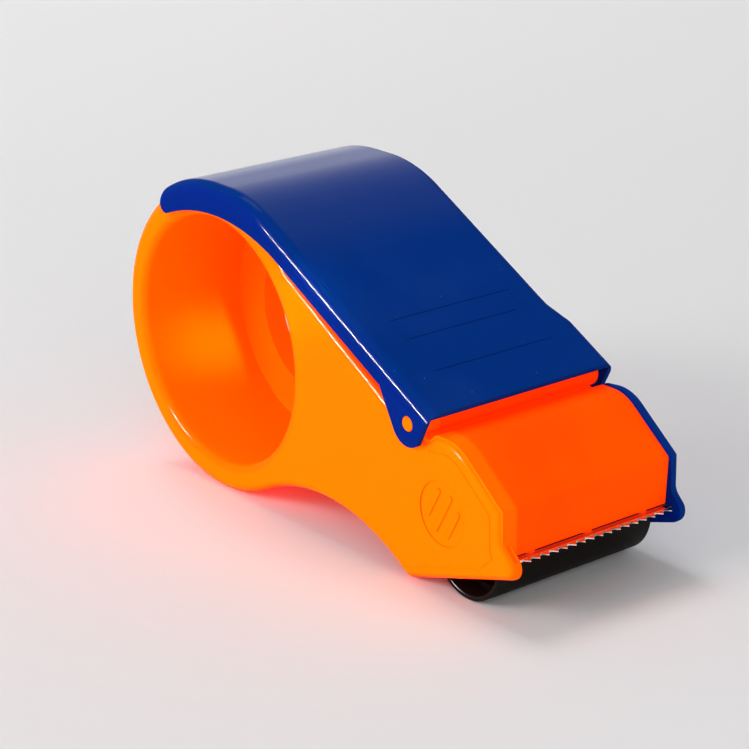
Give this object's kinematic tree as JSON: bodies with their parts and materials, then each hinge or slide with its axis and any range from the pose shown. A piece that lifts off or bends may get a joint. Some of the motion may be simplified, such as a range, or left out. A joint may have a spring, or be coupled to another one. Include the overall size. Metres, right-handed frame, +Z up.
{
  "type": "tape dispenser",
  "caption": "Hand-held packing tape dispenser with an open ring grip, a hinged press cover, a pull-off side plate, a free roller and a toothed cutter.",
  "frame": {"origin": "centre of the bottom of the whole tool's box, on the ground it stands on", "axes": "+X to the cutting nose, +Y to the blue side plate, +Z up"},
  "size_m": [0.165, 0.0632, 0.0878],
  "materials": {
    "orange_plastic": "glossy moulded orange plastic",
    "blue_plastic": "glossy moulded deep blue plastic",
    "black_plastic": "satin near-black plastic",
    "blade_steel": "polished cut steel strip",
    "zinc_steel": "zinc-plated steel"
  },
  "bodies": {
    "body": {"main_body": "orange_plastic", "hinge_pin_near": "orange_plastic", "hinge_pin_far": "orange_plastic", "cutter_blade": "blade_steel", "blade_screws": "zinc_steel", "roller_axle": "zinc_steel", "axle_clip": "zinc_steel"},
    "side_plate": {"side_plate": "blue_plastic"},
    "press_cover": {"press_cover": "blue_plastic"},
    "roller": {"roller_tube": "black_plastic", "roller_hub_near": "black_plastic", "roller_hub_far": "black_plastic"}
  },
  "joints": [
    {"name": "cover_swing", "type": "hinge", "parent": "body", "child": "press_cover", "pos_m": [0.0453, 0, 0.044], "axis": [0, 1, 0], "range_deg": [0, 26]},
    {"name": "roller_spin", "type": "hinge", "parent": "body", "child": "roller", "pos_m": [0.0605, 0, 0.0125], "axis": [0, 1, 0], "continuous": true},
    {"name": "plate_pull", "type": "slide", "parent": "body", "child": "side_plate", "axis": [0, 1, 0], "range_m": [0, 0.085]}
  ]
}
